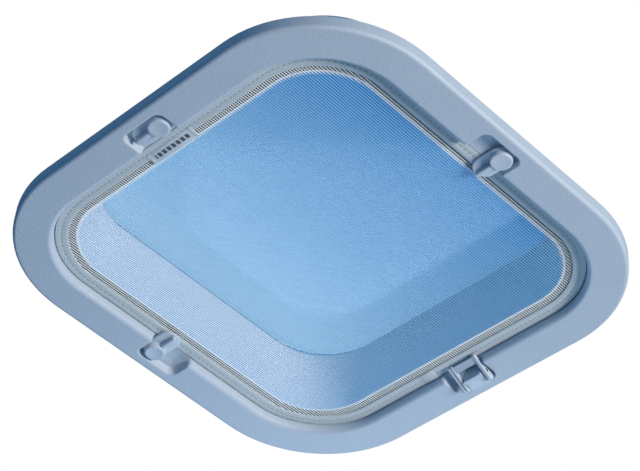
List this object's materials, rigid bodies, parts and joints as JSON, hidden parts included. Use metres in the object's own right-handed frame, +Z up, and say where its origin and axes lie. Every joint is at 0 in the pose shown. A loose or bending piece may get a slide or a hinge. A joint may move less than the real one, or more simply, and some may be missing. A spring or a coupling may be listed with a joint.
{
  "type": "opening deck port",
  "caption": "Square opening deck port with round corners: hinged acrylic lid, frame, inside trim, insect screen with turn catches and a rocking clip.",
  "frame": {"origin": "centre of the opening, on the deck's top surface where the flange's bedding seal rests", "axes": "+Z up and out of the boat, the screen and trim face -Z; +Y towards the lid's hinges; -X the side whose catch is parked beside the label"},
  "size_m": [0.34, 0.34, 0.0701],
  "materials": {
    "anodised_aluminium": "satin anodised",
    "stainless_steel": "brushed",
    "black_rubber": "matt",
    "grained_trim_plastic": "fine pebble grain",
    "liner_plastic": "satin",
    "smooth_plastic": "satin moulded",
    "blue_acrylic": "polished, tinted",
    "screen_mesh_fabric": "open woven insect mesh",
    "screen_tape_fabric": "woven border tape",
    "black_plastic": "satin"
  },
  "bodies": {
    "base": {"base_frame": "anodised_aluminium", "bedding_seal": "black_rubber", "lens_gasket": "black_rubber", "liner_sleeve": "liner_plastic", "ledge_seal": "black_rubber", "trim_ring": "grained_trim_plastic", "deck_screw_1": "stainless_steel", "deck_screw_2": "stainless_steel", "deck_screw_3": "stainless_steel", "deck_screw_4": "stainless_steel", "deck_screw_5": "stainless_steel", "deck_screw_6": "stainless_steel", "deck_screw_7": "stainless_steel", "deck_screw_8": "stainless_steel", "trim_screw_1": "stainless_steel", "trim_screw_2": "stainless_steel", "trim_screw_3": "stainless_steel", "trim_screw_4": "stainless_steel", "trim_screw_5": "stainless_steel", "trim_screw_6": "stainless_steel", "trim_screw_7": "stainless_steel", "trim_screw_8": "stainless_steel", "hinge_base_left": "anodised_aluminium", "hinge_base_right": "anodised_aluminium", "hinge_pin_left": "stainless_steel", "hinge_pin_right": "stainless_steel", "keeper_left": "stainless_steel", "keeper_right": "stainless_steel", "catch_pivot_near": "stainless_steel", "catch_pivot_left": "stainless_steel", "catch_pivot_far": "stainless_steel", "clip_block": "smooth_plastic", "clip_pin": "stainless_steel", "clip_screw": "stainless_steel", "screen_mesh": "screen_mesh_fabric", "screen_tape": "screen_tape_fabric", "screen_wire": "stainless_steel", "screen_label": "screen_tape_fabric"},
    "lid": {"lid_frame": "anodised_aluminium", "lens": "blue_acrylic", "lens_bond": "black_rubber", "hinge_arm_left": "anodised_aluminium", "hinge_arm_right": "anodised_aluminium", "handle_seal_left": "black_rubber", "handle_seal_right": "black_rubber"},
    "handle_left": {"handle_lever_left": "black_plastic", "handle_spindle_left": "stainless_steel"},
    "handle_right": {"handle_lever_right": "black_plastic", "handle_spindle_right": "stainless_steel"},
    "catch_near": {"catch_near": "smooth_plastic"},
    "catch_left": {"catch_left": "smooth_plastic"},
    "catch_far": {"catch_far": "smooth_plastic"},
    "clip_bail": {"clip_bail": "smooth_plastic"}
  },
  "joints": [
    {"name": "lid_hinge", "type": "hinge", "parent": "base", "child": "lid", "pos_m": [0, 0.138, 0.0165], "axis": [-1, 0, 0], "range_deg": [0, 90]},
    {"name": "handle_left_turn", "type": "hinge", "parent": "lid", "child": "handle_left", "pos_m": [-0.065, -0.111, 0.0035], "axis": [0, 0, 1], "range_deg": [0, 90]},
    {"name": "handle_right_turn", "type": "hinge", "parent": "lid", "child": "handle_right", "pos_m": [0.065, -0.111, 0.0035], "axis": [0, 0, -1], "range_deg": [0, 90]},
    {"name": "catch_near_turn", "type": "hinge", "parent": "base", "child": "catch_near", "pos_m": [0.0075, -0.152, -0.0341], "axis": [0, 0, 1], "range_deg": [0, 90]},
    {"name": "catch_left_turn", "type": "hinge", "parent": "base", "child": "catch_left", "pos_m": [-0.152, -0.0075, -0.0341], "axis": [0, 0, 1], "range_deg": [-90, 0]},
    {"name": "catch_far_turn", "type": "hinge", "parent": "base", "child": "catch_far", "pos_m": [-0.0075, 0.152, -0.0341], "axis": [0, 0, 1], "range_deg": [0, 90]},
    {"name": "clip_bail_rock", "type": "hinge", "parent": "base", "child": "clip_bail", "pos_m": [0.1515, -0.0032, -0.04054], "axis": [0, -1, 0], "range_deg": [0, 27]}
  ]
}
